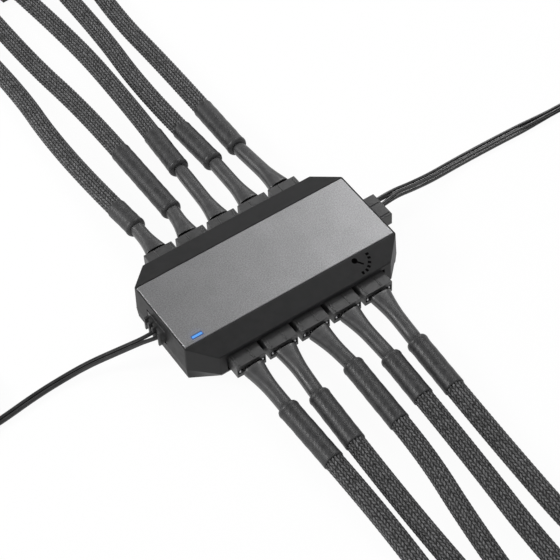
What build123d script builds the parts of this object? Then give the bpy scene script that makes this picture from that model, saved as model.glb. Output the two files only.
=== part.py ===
from build123d import *
import math
import os

os.makedirs("parts", exist_ok=True)

# Housing, in millimetres: X runs along the hub, -Y is the front, Z is up, the origin is on the underside
end_block = 9.65
hub_height = 14.54
plate_width = 28.92
side_width = 43.8
side_land = 2.32
slope_drop = 1.78
draft_flare = 0.34
parting_height = 5.0
bottom_end_width = 29.0
bottom_side_land = 0.95
bottom_side_width = 39.12
bottom_rise = 0.4
wall = 1.6
floor_thickness = 1.6
roof_thickness = 1.4
edge_break = 0.25
tongue_height = 0.9
tongue_gap = 0.1

# Metal plate and the light window in it
plate_thickness = 1.0
plate_land = 0.35
plate_gap = 0.05
plate_break = 0.2
window_from_end = 5.9
window_from_edge = 2.46
window_length = 4.0
window_width = 1.4
window_gap = 0.05
window_flange = 0.4
window_above_led = 0.3

# Ports: one row along each long side and one port at each end
ports_a_side = 5
port_pitch = 11.6
port_axis_height = 8.1
port_top = 11.3
port_side_gap = 0.55
power_port_y = 0.4
signal_port_y = 2.2
end_port_gap = 0.35
side_plug_out = 4.8
power_plug_out = 5.8
signal_plug_out = 0.2

# Four-way plugs and the pins that they fit
pin_count = 4
pin_pitch = 2.54
pin_size = 0.64
pin_reach = 7.0
pin_hole_gap = 0.01
plug_width = 10.2
plug_thickness = 4.9
plug_length = 12.7
socket_hole = 0.9
crimp_opening = 1.9
crimp_depth = 4.2
latch_window_width = 1.2
latch_window_length = 3.0
latch_window_depth = 0.9
latch_window_start = 4.0
rib_width = 0.35
rib_height = 0.3
rib_length = 9.5
rib_inset = 1.1
rib_spacing = 5.3
rib_end = 0.6
plug_break = 0.15

# Port housings on the board
header_width = 10.16
header_depth = 3.2
header_height = 5.5
pin_tail = 0.8

# Circuit board and what it carries
board_end_gap = 1.4
board_beyond_ports = 1.0
board_thickness = 1.6
board_bottom = 3.6
board_corner = 4.0
led_size = (2.0, 1.25, 0.8)
resistor_size = (1.6, 0.8, 0.45)
resistor_from_led = (1.6, 5.0)
capacitor_radius = 3.15
capacitor_height = 5.4
capacitor_base = 6.6
capacitor_base_height = 0.9
capacitor_base_corner = 1.1
capacitor_x = 2.0
support_rib = 1.2
support_rib_inset = 5.5
support_rib_length = 24.0

# Two screws from below, hidden by the pad, which clamp the tray, the board and the cover
screw_x = 14.0
screw_shank_radius = 0.95
screw_head_radius = 1.7
screw_head_height = 1.0
screw_length = 7.0
screw_head_sink = 0.1
screw_slot_width = 0.5
screw_slot_depth = 0.5
pilot_spare = 0.5
boss_radius = 2.6
head_gap = 0.15
shank_gap = 0.15
thread_gap = 0.05

# Adhesive pad
pad_length = 52.0
pad_width = 26.0
pad_thickness = 1.0
pad_corner = 3.0
pad_gap = 0.1

# Sleeved leads
arc_share = 0.45
sleeve_radius = 3.1
sleeve_sides = 12
sleeve_height = 3.2
collar_radius = 3.35
boot_width = 7.3
boot_neck = 4.7
boot_corner = 1.3
boot_flare_share = 0.5
boot_overlap = 1.5
far_socket_width = 11.4
far_socket_thickness = 6.1
far_socket_length = 14.0
far_socket_depth = 9.0
far_socket_wall = 0.5

# Each lead by hand: the collar's length, where it starts, and the bends of its sleeve up to the far socket
front_leads = [
    (23.0, (-22.4, -43.8, 6.0), [(-20.4, -92.0), (-22.6, -131.0), (-27.0, -166.2)]),
    (20.0, (-12.4, -45.3, 6.0), [(-13.3, -91.0), (-12.9, -130.0), (-14.8, -166.5)]),
    (24.5, (2.0, -42.2, 6.1), [(2.0, -80.0), (-1.7, -104.0), (-4.8, -135.0), (-2.6, -165.9)]),
    (17.5, (12.9, -46.4, 6.0), [(12.4, -86.0), (9.4, -127.0), (10.8, -166.3)]),
    (20.0, (22.7, -46.3, 6.0), [(21.8, -88.0), (20.8, -128.5), (24.0, -166.4)]),
]
back_leads = [
    (12.0, (-23.0, 39.8, 7.2), [(-25.3, 85.0), (-22.4, 127.0), (-26.2, 166.1)]),
    (34.0, (-10.0, 39.5, 7.1), [(-9.1, 98.0), (-12.9, 133.0), (-13.2, 166.3)]),
    (19.5, (1.7, 53.9, 6.6), [(4.9, 97.0), (4.8, 132.0), (1.2, 166.2)]),
    (20.3, (12.3, 49.5, 6.8), [(11.9, 95.0), (14.9, 131.5), (14.4, 166.4)]),
    (23.4, (22.4, 50.8, 6.4), [(24.3, 101.0), (23.2, 135.0), (26.9, 166.4)]),
]

# Two-wire end leads, as points of the pair's centre line, and the coils that put the rest of them away
pair_radius = 1.3
pair_sides = 8
power_route = [
    (50.0, 2.94, 8.1), (58.5, 2.4, 5.2), (67.5, 3.4, 2.6), (79.0, 5.5, 1.4),
    (93.0, 6.1, 1.4), (110.0, 5.7, 1.4), (126.5, 5.1, 1.4),
]
signal_route = [
    (-45.2, -0.34, 8.1), (-53.2, 1.6, 5.6), (-61.0, 4.6, 3.0), (-69.5, 6.1, 1.4),
    (-80.0, 5.9, 1.4), (-91.0, 5.4, 1.4), (-101.0, 5.2, 1.4),
]
coil_radius = 14.5
coil_wall = 5.4
coil_height = 5.4
coil_sides = 20
power_coil_x = 134.5
signal_coil_x = -106.5
tail_reach = 12.6
power_connector_size = (23.8, 17.0, 7.0)
power_connector_slot = (20.9, 5.6, 2.3)
power_connector_tongue = 1.1
connector_overhang = 2.2
connector_rest = 0.05

# Heights and places that follow from those sizes; the hub is as long as its row of ports and an end block each
row_opening = (ports_a_side - 1) * port_pitch + plug_width + 2 * port_side_gap
hub_length = row_opening + 2 * end_block
side_length = row_opening + 2 * side_land
bottom_side_length = row_opening + 2 * bottom_side_land
window_x = window_from_end - hub_length / 2
window_y = window_from_edge - plate_width / 2
resistor_x = window_x + resistor_from_led[0]
resistor_y = window_y + resistor_from_led[1]
board_length = hub_length - 2 * (wall + board_end_gap)
support_rib_x = board_length / 2 - support_rib_inset
board_top = board_bottom + board_thickness
plate_seat = hub_height - plate_thickness
ceiling = plate_seat - roof_thickness
floor_top = bottom_rise + floor_thickness
head_seat = pad_thickness + screw_head_sink + screw_head_height
pilot_depth = head_seat + screw_length + pilot_spare - board_top
draft = math.degrees(math.atan2(draft_flare, hub_height - parting_height))
tray_flare = (side_width - bottom_side_width) / 2 + draft_flare
tray_draft = math.degrees(math.atan2(tray_flare, parting_height - bottom_rise))
slope_run = (side_width - plate_width) / 2
slope = slope_drop / slope_run
slope_thickness = wall * math.hypot(1, slope)
side_plug_face = side_width / 2 + side_plug_out - plug_length
side_plug_rear = side_plug_face + plug_length
board_width = 2 * (side_plug_face + board_beyond_ports)
power_plug_face = hub_length / 2 + power_plug_out - plug_length
signal_plug_face = hub_length / 2 + signal_plug_out - plug_length
row_ports = [(number - (ports_a_side - 1) / 2) * port_pitch for number in range(ports_a_side)]
pin_row = [(number - (pin_count - 1) / 2) * pin_pitch for number in range(pin_count)]
end_opening = plug_width + 2 * end_port_gap
screw_places = [(-screw_x, 0), (screw_x, 0)]

# Each port's place is the middle of its plug's mating face, turned so that +Y is the way the plug leaves
front_ports = [Location((x, -side_plug_face, port_axis_height), (0, 0, 180)) for x in row_ports]
back_ports = [Location((x, side_plug_face, port_axis_height)) for x in row_ports]
power_port = Location((power_plug_face, power_port_y, port_axis_height), (0, 0, -90))
signal_port = Location((-signal_plug_face, signal_port_y, port_axis_height), (0, 0, 90))
all_ports = [*front_ports, *back_ports, power_port, signal_port]


def save(piece, name):
    piece.part.label = name
    export_step(piece.part, f"parts/{name}.step")


def facet_normal(half_length, half_end, half_side, half_width):
    # How far a corner facet's outward normal points along X and along Y
    facet = math.hypot(half_length - half_side, half_width - half_end)
    return (half_width - half_end) / facet, (half_length - half_side) / facet


def facet_outline(plan, inset, mode=Mode.ADD):
    # Eight-sided plan with a facet at each corner, every side moved in by the inset
    half_length, half_end, half_side, half_width = plan
    across, along = facet_normal(*plan)
    reach = across * half_length + along * half_end - inset
    end_x, side_y = half_length - inset, half_width - inset
    quarter = [(end_x, (reach - across * end_x) / along), ((reach - along * side_y) / across, side_y)]
    half = quarter + [(-x, y) for x, y in reversed(quarter)]
    Polygon(*half, *[(-x, -y) for x, y in half], align=None, mode=mode)


cover_plan = (hub_length / 2, plate_width / 2, side_length / 2, side_width / 2)
tray_plan = (hub_length / 2, bottom_end_width / 2, bottom_side_length / 2, bottom_side_width / 2)


def roofed_block(inset, top, slope_offset):
    # Drafted block on the cover's plan, with a flat top between two sloped sides
    with BuildSketch(Plane.XY.offset(parting_height)) as foot:
        facet_outline(cover_plan, inset - draft_flare)
    extrude(foot.sketch, amount=hub_height - parting_height, taper=draft)
    outside = side_width
    slope_end = hub_height - slope_offset - slope * (outside - plate_width / 2)
    flat_half = plate_width / 2 + (hub_height - slope_offset - top) / slope
    right = [(flat_half, top), (outside, slope_end), (outside, 0)]
    with BuildSketch(Plane.YZ) as roof:
        Polygon(*right, *[(-y, z) for y, z in reversed(right)], align=None)
    extrude(roof.sketch, amount=hub_length, both=True, mode=Mode.INTERSECT)


def port_openings(low, top, gap):
    # The two long slots and the two end openings, each cut from well inside to well outside its wall
    depth = 4 * wall
    height = top - low
    level = low + height / 2
    with Locations((0, side_width / 2, level), (0, -side_width / 2, level)):
        Box(row_opening + 2 * gap, depth, height, mode=Mode.SUBTRACT)
    with Locations((hub_length / 2, power_port_y, level), (-hub_length / 2, signal_port_y, level)):
        Box(depth, end_opening + 2 * gap, height, mode=Mode.SUBTRACT)


# Cover
with BuildPart() as cover_hollow:
    roofed_block(wall, ceiling, slope_thickness)

with BuildPart() as upper_shell:
    roofed_block(0.0, hub_height, 0.0)
    chamfer(upper_shell.edges().filter_by(lambda e: e.center().Z > parting_height + edge_break), edge_break)
    add(cover_hollow.part, mode=Mode.SUBTRACT)
    with BuildSketch(Plane.XY.offset(plate_seat)):
        Rectangle(hub_length - 2 * plate_land, plate_width - 2 * plate_land)
    extrude(amount=plate_thickness, mode=Mode.SUBTRACT)
    with BuildSketch(Plane.XY.offset(parting_height)):
        facet_outline(cover_plan, wall / 2 - draft_flare - tongue_gap)
    extrude(amount=tongue_height + tongue_gap, mode=Mode.SUBTRACT)
    port_openings(parting_height, port_top, 0.0)
    with BuildSketch(Plane.XY.offset(board_top)):
        with Locations(*screw_places):
            Circle(boss_radius)
    extrude(amount=ceiling - board_top)
    with BuildSketch(Plane.XY.offset(board_top)):
        with Locations(*screw_places):
            Circle(screw_shank_radius + thread_gap)
    extrude(amount=pilot_depth, mode=Mode.SUBTRACT)
    with BuildSketch(Plane.XY.offset(ceiling)):
        with Locations((window_x, window_y)):
            Rectangle(window_length, window_width)
    extrude(amount=roof_thickness, mode=Mode.SUBTRACT)
save(upper_shell, "upper_shell")

with BuildPart() as top_plate:
    with BuildSketch(Plane.XY.offset(plate_seat)):
        Rectangle(hub_length - 2 * (plate_land + plate_gap), plate_width - 2 * (plate_land + plate_gap))
    extrude(amount=plate_thickness)
    chamfer(top_plate.edges().group_by(Axis.Z)[-1], length=plate_break)
    with BuildSketch(Plane.XY.offset(plate_seat)):
        with Locations((window_x, window_y)):
            Rectangle(window_length, window_width)
    extrude(amount=plate_thickness, mode=Mode.SUBTRACT)
save(top_plate, "top_plate")

# Tray
with BuildPart() as lower_shell:
    with BuildSketch(Plane.XY.offset(bottom_rise)):
        facet_outline(tray_plan, 0.0)
    with BuildSketch(Plane.XY.offset(parting_height)):
        facet_outline(cover_plan, -draft_flare)
    loft(ruled=True)
    with BuildSketch(Plane.XY.offset(parting_height)):
        facet_outline(cover_plan, wall - draft_flare)
    extrude(amount=floor_top - parting_height, taper=tray_draft, mode=Mode.SUBTRACT)
    with BuildSketch(Plane.XY.offset(parting_height)):
        facet_outline(cover_plan, wall / 2 - draft_flare)
        facet_outline(cover_plan, wall - draft_flare, mode=Mode.SUBTRACT)
    extrude(amount=tongue_height)
    port_openings(parting_height, parting_height + tongue_height, tongue_gap)
    with BuildSketch(Plane.XY.offset(bottom_rise)):
        RectangleRounded(pad_length, pad_width, pad_corner)
    extrude(amount=pad_thickness - bottom_rise, mode=Mode.SUBTRACT)
    with BuildSketch(Plane.XY.offset(floor_top)):
        with Locations((-support_rib_x, 0), (support_rib_x, 0)):
            Rectangle(support_rib, support_rib_length)
        with Locations(*screw_places):
            Circle(boss_radius)
    extrude(amount=board_bottom - floor_top)
    with BuildSketch(Plane.XY.offset(pad_thickness)):
        with Locations(*screw_places):
            Circle(screw_shank_radius + shank_gap)
    extrude(amount=board_bottom - pad_thickness, mode=Mode.SUBTRACT)
    with BuildSketch(Plane.XY.offset(pad_thickness)):
        with Locations(*screw_places):
            Circle(screw_head_radius + head_gap)
    extrude(amount=head_seat - pad_thickness, mode=Mode.SUBTRACT)
save(lower_shell, "lower_shell")

with BuildPart() as adhesive_pad:
    with BuildSketch():
        RectangleRounded(pad_length - 2 * pad_gap, pad_width - 2 * pad_gap, pad_corner - pad_gap)
    extrude(amount=pad_thickness)
save(adhesive_pad, "adhesive_pad")

with BuildPart() as base_screws:
    with BuildSketch(Plane.XY.offset(head_seat - screw_head_height)):
        with Locations(*screw_places):
            Circle(screw_head_radius)
    extrude(amount=screw_head_height)
    with BuildSketch(Plane.XY.offset(head_seat)):
        with Locations(*screw_places):
            Circle(screw_shank_radius)
    extrude(amount=screw_length)
    with BuildSketch(Plane.XY.offset(head_seat - screw_head_height)):
        with Locations(*screw_places):
            Rectangle(2 * screw_head_radius, screw_slot_width)
    extrude(amount=screw_slot_depth, mode=Mode.SUBTRACT)
save(base_screws, "base_screws")

# Board and what it carries
with BuildPart() as circuit_board:
    with BuildSketch(Plane.XY.offset(board_bottom)):
        Rectangle(board_length, board_width)
        chamfer(vertices(), board_corner)
        with Locations(*screw_places):
            Circle(screw_shank_radius + shank_gap, mode=Mode.SUBTRACT)
    extrude(amount=board_thickness)
save(circuit_board, "circuit_board")

with BuildPart() as status_led:
    with Locations((window_x, window_y, board_top)):
        Box(*led_size, align=(Align.CENTER, Align.CENTER, Align.MIN))
save(status_led, "status_led")

with BuildPart() as led_resistor:
    with Locations((resistor_x, resistor_y, board_top)):
        Box(*resistor_size, align=(Align.CENTER, Align.CENTER, Align.MIN))
save(led_resistor, "led_resistor")

with BuildPart() as light_window:
    pipe_foot = board_top + led_size[2] + window_above_led
    with BuildSketch(Plane((window_x, window_y, pipe_foot))):
        Rectangle(window_length - 2 * window_gap, window_width - 2 * window_gap)
    extrude(amount=hub_height - pipe_foot)
    with BuildSketch(Plane((window_x, window_y, ceiling))):
        Rectangle(window_length + 2 * window_flange, window_width + 2 * window_flange)
    extrude(amount=-window_flange)
save(light_window, "light_window")

with BuildPart() as filter_capacitor:
    with BuildSketch(Plane((capacitor_x, 0, board_top))):
        Rectangle(capacitor_base, capacitor_base)
        chamfer(vertices().sort_by(Axis.X)[-2:], capacitor_base_corner)
    extrude(amount=capacitor_base_height)
    with BuildSketch(Plane((capacitor_x, 0, board_top + capacitor_base_height))):
        Circle(capacitor_radius)
    extrude(amount=capacitor_height - capacitor_base_height)
save(filter_capacitor, "filter_capacitor")

# Port housing: its mating face is at Y = 0 and its pins run along Y at Z = 0
board_drop = port_axis_height - board_top
with BuildPart() as header_pattern:
    with Locations((0, 0, -board_drop)):
        Box(header_width, header_depth, header_height, align=(Align.CENTER, Align.MAX, Align.MIN))
    with Locations(*[(x, -header_depth / 2, 0) for x in pin_row]):
        hole = pin_size + 2 * pin_hole_gap
        Box(hole, header_depth, hole, mode=Mode.SUBTRACT)

with BuildPart() as pin_pattern:
    half = pin_size / 2
    tail = -header_depth - pin_tail
    for x in pin_row:
        with BuildSketch(Plane.YZ.offset(x)):
            Polygon(
                (pin_reach, half), (tail, half), (tail, -board_drop),
                (tail + pin_size, -board_drop), (tail + pin_size, -half), (pin_reach, -half),
                align=None,
            )
        extrude(amount=half, both=True)

with BuildPart() as port_headers:
    with Locations(*all_ports):
        add(header_pattern.part)
save(port_headers, "port_headers")

with BuildPart() as header_pins:
    with Locations(*all_ports):
        add(pin_pattern.part)
save(header_pins, "header_pins")

# Four-way plug: the mating face is at Y = 0, the wires come in at the rear, the guide ribs are on top
with BuildPart() as plug_pattern:
    Box(plug_width, plug_length, plug_thickness, align=(Align.CENTER, Align.MIN, Align.CENTER))
    chamfer(plug_pattern.edges().filter_by(Axis.Y), plug_break)
    rib_x = plug_width / 2 - rib_inset
    with Locations(*[(x, plug_length - rib_end, plug_thickness / 2) for x in (rib_x, rib_x - rib_spacing)]):
        Box(rib_width, rib_length, 2 * rib_height, align=(Align.CENTER, Align.MAX, Align.CENTER))
    with Locations(*[(x, 0, 0) for x in pin_row]):
        Box(
            socket_hole, plug_length, socket_hole,
            align=(Align.CENTER, Align.MIN, Align.CENTER), mode=Mode.SUBTRACT,
        )
    with Locations(*[(x, plug_length, 0) for x in pin_row]):
        Box(
            crimp_opening, crimp_depth, crimp_opening,
            align=(Align.CENTER, Align.MAX, Align.CENTER), mode=Mode.SUBTRACT,
        )
    with Locations(*[(x, latch_window_start, -plug_thickness / 2) for x in pin_row]):
        Box(
            latch_window_width, latch_window_length, 2 * latch_window_depth,
            align=(Align.CENTER, Align.MIN, Align.CENTER), mode=Mode.SUBTRACT,
        )

# Far socket of a sleeved lead: the wires come in at Y = 0 and the shroud opens at the other end
with BuildPart() as socket_pattern:
    Box(
        far_socket_width, far_socket_length, far_socket_thickness,
        align=(Align.CENTER, Align.MIN, Align.CENTER),
    )
    with Locations((0, far_socket_length, 0)):
        Box(
            far_socket_width - 2 * far_socket_wall, far_socket_depth,
            far_socket_thickness - 2 * far_socket_wall,
            align=(Align.CENTER, Align.MAX, Align.CENTER), mode=Mode.SUBTRACT,
        )
    with Locations(*[(x, far_socket_length - far_socket_depth, 0) for x in pin_row]):
        Box(pin_size, pin_reach, pin_size, align=(Align.CENTER, Align.MIN, Align.CENTER))


def route_tube(points, radius, sides):
    # Straight runs joined by arcs as large as the runs allow; prints what the arcs and the length come to
    corners = [Vector(*point) for point in points]
    runs = [after - before for before, after in zip(corners, corners[1:])]
    radii = []
    for before, after in zip(runs, runs[1:]):
        half_turn = math.radians(before.get_angle(after)) / 2
        radii.append(arc_share * min(before.length, after.length) / math.tan(half_turn))
    with BuildLine() as route:
        FilletPolyline(*corners, radius=radii)
    with BuildSketch(Plane(origin=corners[0], z_dir=runs[0])) as section:
        RegularPolygon(radius, sides)
    sweep(section.sketch, path=route.line)
    length = sum(edge.length for edge in route.edges())
    print("arc radii", [round(r) for r in radii], "length", round(length, 1))
    return section.sketch.area * length, length


def sleeved_lead(side, number, port, collar_length, collar_start, bends):
    # One lead from the rear of its plug: flared boot with its collar, sleeve and far socket
    start = Vector(*collar_start)
    route = [Vector(x, y, sleeve_height) for x, y in bends]
    along_collar = (route[0] - start).normalized()
    collar_end = start + along_collar * collar_length
    outward = Vector(0, math.copysign(1, start.Y), 0)
    rear = Vector(port.position.X, outward.Y * side_plug_rear, port_axis_height)
    boot_line = start - rear
    across = Vector(1, 0, 0)
    boot_plane = Plane(origin=rear, x_dir=across, z_dir=across.cross(boot_line))
    reach = math.hypot(boot_line.Y, boot_line.Z)
    lean = boot_line.X / reach

    with BuildPart() as plug:
        with Locations(port):
            add(plug_pattern.part)
    save(plug, f"{side}_plug_{number}")

    with BuildPart() as boot:
        with BuildSketch(boot_plane) as flare:
            stations = [
                (-boot_overlap, boot_width), (0, boot_width),
                (reach * boot_flare_share, boot_neck), (reach + boot_overlap, boot_neck),
            ]
            right = [(lean * ahead + width / 2, ahead) for ahead, width in stations]
            left = [(lean * ahead - width / 2, ahead) for ahead, width in reversed(stations)]
            Polygon(*right, *left, align=None)
        extrude(flare.sketch, amount=boot_neck / 2, both=True)
        chamfer(boot.faces().filter_by(boot_plane).edges().filter_by(Axis.X, reverse=True), boot_corner)
        split(bisect_by=Plane(origin=rear, z_dir=outward))
        with BuildSketch(Plane(origin=start, x_dir=(1, 0, 0), z_dir=along_collar)) as collar:
            RegularPolygon(collar_radius, sleeve_sides)
        extrude(collar.sketch, amount=collar_length)
    save(boot, f"{side}_boot_{number}")

    with BuildPart() as sleeve:
        volume, length = route_tube([collar_end, *route], sleeve_radius, sleeve_sides)
    save(sleeve, f"{side}_sleeve_{number}")
    print(side, number, "volume share", round(sleeve.part.volume / volume, 4))
    print(side, number, "from plug to far socket", round(boot_line.length + collar_length + length, 1))

    heading = route[-1] - route[-2]
    turn = math.degrees(math.atan2(heading.Y, heading.X)) - 90
    with BuildPart() as far_socket:
        with Locations(Location(route[-1], (0, 0, turn))):
            add(socket_pattern.part)
    save(far_socket, f"{side}_socket_{number}")


for side, ports, leads in (("front", front_ports, front_leads), ("back", back_ports, back_leads)):
    for number, (port, (collar_length, collar_start, bends)) in enumerate(zip(ports, leads), start=1):
        sleeved_lead(side, number, port, collar_length, collar_start, bends)


def end_lead(name, plug_rear, route, coil_x, outward):
    # The pair's tube, the put-away coil and the tail that leads on to the far connector
    with BuildPart() as coil:
        coil_y = route[-1][1] - outward * coil_radius
        with BuildSketch(Plane((coil_x, coil_y, 0))):
            RegularPolygon(coil_radius + coil_wall / 2, coil_sides, major_radius=False)
            RegularPolygon(coil_radius - coil_wall / 2, coil_sides, major_radius=False, mode=Mode.SUBTRACT)
        extrude(amount=coil_height)
    save(coil, f"{name}_coil")
    with BuildPart() as lead:
        route_tube([plug_rear, *route], pair_radius, pair_sides)
        tail_x = coil_x + outward * coil_radius
        with BuildSketch(Plane(origin=(tail_x, coil_y, coil_height / 2), z_dir=(0, -outward, 0))) as tail:
            RegularPolygon(pair_radius, pair_sides)
        extrude(tail.sketch, amount=tail_reach)
        add(coil.part, mode=Mode.SUBTRACT)
    save(lead, f"{name}_lead")
    return Vector(tail_x, coil_y - outward * tail_reach, 0)


with BuildPart() as power_plug:
    with Locations(power_port):
        add(plug_pattern.part)
save(power_plug, "power_plug")

with BuildPart() as signal_plug:
    with Locations(signal_port * Rotation(0, 180, 0)):
        add(plug_pattern.part)
save(signal_plug, "signal_plug")

power_rear = (power_plug_face + plug_length, power_route[0][1], port_axis_height)
power_tail = end_lead("power", power_rear, power_route, power_coil_x, 1)
signal_rear = (-signal_plug_face - plug_length, signal_route[0][1], port_axis_height)
signal_tail = end_lead("signal", signal_rear, signal_route, signal_coil_x, -1)

with BuildPart() as power_connector:
    width, length, thickness = power_connector_size
    slot_width, slot_depth, slot_height = power_connector_slot
    left = power_tail.X - connector_overhang
    with Locations((left, power_tail.Y, 0)):
        Box(width, length, thickness, align=(Align.MIN, Align.MAX, Align.MIN))
    with Locations((left + width / 2, power_tail.Y - length, thickness / 2)):
        Box(slot_width, 2 * slot_depth, slot_height, mode=Mode.SUBTRACT)
    with Locations((left + (width - slot_width) / 2, power_tail.Y - length, thickness / 2)):
        Box(
            power_connector_tongue, 2 * slot_depth, slot_height,
            align=(Align.MIN, Align.CENTER, Align.MIN), mode=Mode.SUBTRACT,
        )
save(power_connector, "power_connector")

with BuildPart() as board_connector:
    beside = plug_width / 2 - connector_overhang
    place = (signal_tail.X - beside, signal_tail.Y + plug_length, plug_thickness / 2 + connector_rest)
    with Locations(Location(place, (0, 0, 180))):
        add(plug_pattern.part)
save(board_connector, "board_connector")
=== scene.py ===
import bmesh
import bpy
import math
from mathutils import Matrix, Quaternion, Vector


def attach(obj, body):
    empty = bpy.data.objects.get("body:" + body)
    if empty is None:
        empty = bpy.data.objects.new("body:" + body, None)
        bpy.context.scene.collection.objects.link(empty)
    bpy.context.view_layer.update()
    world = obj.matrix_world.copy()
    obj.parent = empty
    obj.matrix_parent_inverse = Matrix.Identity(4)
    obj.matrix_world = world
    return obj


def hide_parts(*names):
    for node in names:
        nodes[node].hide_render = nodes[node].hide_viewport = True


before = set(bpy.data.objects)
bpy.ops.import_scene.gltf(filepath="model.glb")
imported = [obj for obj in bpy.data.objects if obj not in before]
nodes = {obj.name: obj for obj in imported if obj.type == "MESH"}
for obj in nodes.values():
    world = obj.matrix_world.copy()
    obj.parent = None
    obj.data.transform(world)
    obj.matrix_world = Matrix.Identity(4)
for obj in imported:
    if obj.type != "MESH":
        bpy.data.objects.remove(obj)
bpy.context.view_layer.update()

mm = 0.001
scene = bpy.context.scene


# Camera at the photograph's angle: places in metres, lens and sensor in millimetres
camera = {
    "azimuth": math.radians(-30.8066),
    "elevation": math.radians(51.1956),
    "roll": math.radians(-3.9617),
    "distance": 0.5605,
    "target": Vector((0.000858, -0.006092, 0.010267)),
    "lens": 117.59,
    "sensor": 36.0,
    "nearest": 0.01,
    "furthest": 20,
}


def placeCamera():
    flat = math.cos(camera["elevation"])
    back = Vector((
        math.sin(camera["azimuth"]) * flat,
        -math.cos(camera["azimuth"]) * flat,
        math.sin(camera["elevation"]),
    ))
    bpy.ops.object.camera_add(location=camera["target"] + back * camera["distance"])
    view = bpy.context.object
    view.name = "photoCamera"
    view.rotation_mode = "QUATERNION"
    view.rotation_quaternion = (-back).to_track_quat("-Z", "Y") @ Quaternion((0, 0, 1), camera["roll"])
    view.data.lens = camera["lens"]
    view.data.sensor_width = camera["sensor"]
    view.data.clip_start = camera["nearest"]
    view.data.clip_end = camera["furthest"]
    scene.camera = view


placeCamera()
print("camera placed")


# World, lamps and floor, in metres but for the floor's drop, in millimetres
studio = {
    "worldDim": 0.38,
    "worldWhite": 1.0,
    "horizon": 0.16,
    "overhead": 0.55,
    "lamps": {
        "key": {"location": (0.42, 0.36, 0.50), "target": (0.02, 0.0, 0.01), "size": 0.26, "power": 1.3},
        "left": {"location": (-0.62, 0.42, 0.50), "target": (0.0, 0.0, 0.0), "size": 0.30, "power": 4.4},
        "front": {"location": (-0.55, -0.75, 0.85), "target": (0.0, 0.0, 0.0), "size": 0.90, "power": 2.2},
        "top": {"location": (0.50, 0.06, 0.92), "target": (0.02, 0.0, 0.01), "size": 0.30, "power": 1.0},
    },
    "floorSize": 6.0,
    "floorDrop": -0.03,
    "floorColour": (0.97, 0.97, 0.97, 1),
    "floorRoughness": 0.9,
    "floorShadow": 0.05,
}


def addLamp(name, spec):
    bpy.ops.object.light_add(type="AREA", location=spec["location"])
    lamp = bpy.context.object
    lamp.name = name
    lamp.data.shape = "DISK"
    lamp.data.size = spec["size"]
    lamp.data.energy = spec["power"]
    lamp.rotation_mode = "QUATERNION"
    aim = Vector(spec["location"]) - Vector(spec["target"])
    lamp.rotation_quaternion = aim.to_track_quat("Z", "Y")


def addMath(tree, operation, *terms):
    # Each term is a number or another node's output
    step = tree.nodes.new("ShaderNodeMath")
    step.operation = operation
    for socket, term in zip(step.inputs, terms):
        if isinstance(term, (int, float)):
            socket.default_value = term
        else:
            tree.links.new(term, socket)
    return step.outputs[0]


def mixShaders(tree, share, first, second):
    blend = tree.nodes.new("ShaderNodeMixShader")
    for socket, source in zip(blend.inputs, (share, first, second)):
        tree.links.new(source, socket)
    return blend.outputs[0]


def addRange(tree, source, low, high, fromLow=0.3, fromHigh=0.7):
    # Noise stays mostly between 0.3 and 0.7, so that is the span unless another is given
    step = tree.nodes.new("ShaderNodeMapRange")
    for socket, value in zip(("From Min", "From Max", "To Min", "To Max"), (fromLow, fromHigh, low, high)):
        step.inputs[socket].default_value = value
    tree.links.new(source, step.inputs["Value"])
    return step.outputs["Result"]


def seenOrMirrored(tree):
    # 1 for camera, glossy and transmission rays, so that gloss shows the white background too
    path = tree.nodes.new("ShaderNodeLightPath")
    seen = addMath(tree, "MAXIMUM", path.outputs["Is Camera Ray"], path.outputs["Is Glossy Ray"])
    return addMath(tree, "MAXIMUM", seen, path.outputs["Is Transmission Ray"])


def lightWorld():
    # White down at the horizon, as the floor is, and dimmer overhead
    world = bpy.data.worlds.new("studioWorld")
    scene.world = world
    world.use_nodes = True
    tree = world.node_tree
    back = tree.nodes["Background"]
    back.inputs["Color"].default_value = (1, 1, 1, 1)
    place = tree.nodes.new("ShaderNodeTexCoord")
    split = tree.nodes.new("ShaderNodeSeparateXYZ")
    tree.links.new(place.outputs["Generated"], split.inputs[0])
    low = addRange(tree, split.outputs["Z"], 1.0, 0.0, studio["horizon"], studio["overhead"])
    white = addMath(tree, "MULTIPLY", seenOrMirrored(tree), low)
    strength = addRange(tree, white, studio["worldDim"], studio["worldWhite"], 0.0, 1.0)
    tree.links.new(strength, back.inputs["Strength"])


def layFloor():
    # White to the camera but for a faint shadow, and clear from below, so that the underside shows
    bpy.ops.mesh.primitive_plane_add(size=studio["floorSize"], location=(0, 0, studio["floorDrop"] * mm))
    floor = bpy.context.object
    floor.name = "studioFloor"
    paper = bpy.data.materials.new("floorPaper")
    paper.use_nodes = True
    tree = paper.node_tree
    shader = tree.nodes["Principled BSDF"]
    shader.inputs["Base Color"].default_value = studio["floorColour"]
    shader.inputs["Roughness"].default_value = studio["floorRoughness"]
    white = tree.nodes.new("ShaderNodeEmission")
    clear = tree.nodes.new("ShaderNodeBsdfTransparent")
    facing = tree.nodes.new("ShaderNodeNewGeometry")
    amount = addMath(tree, "MULTIPLY", seenOrMirrored(tree), 1 - studio["floorShadow"])
    blend = mixShaders(tree, amount, shader.outputs[0], white.outputs[0])
    oneSided = mixShaders(tree, facing.outputs["Backfacing"], blend, clear.outputs[0])
    tree.links.new(oneSided, tree.nodes["Material Output"].inputs["Surface"])
    floor.data.materials.append(paper)


def lightStudio():
    scene.view_settings.view_transform = "Standard"
    lightWorld()
    for name, spec in studio["lamps"].items():
        addLamp(f"{name}Lamp", spec)
    layFloor()


lightStudio()
print("studio lit")


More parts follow.
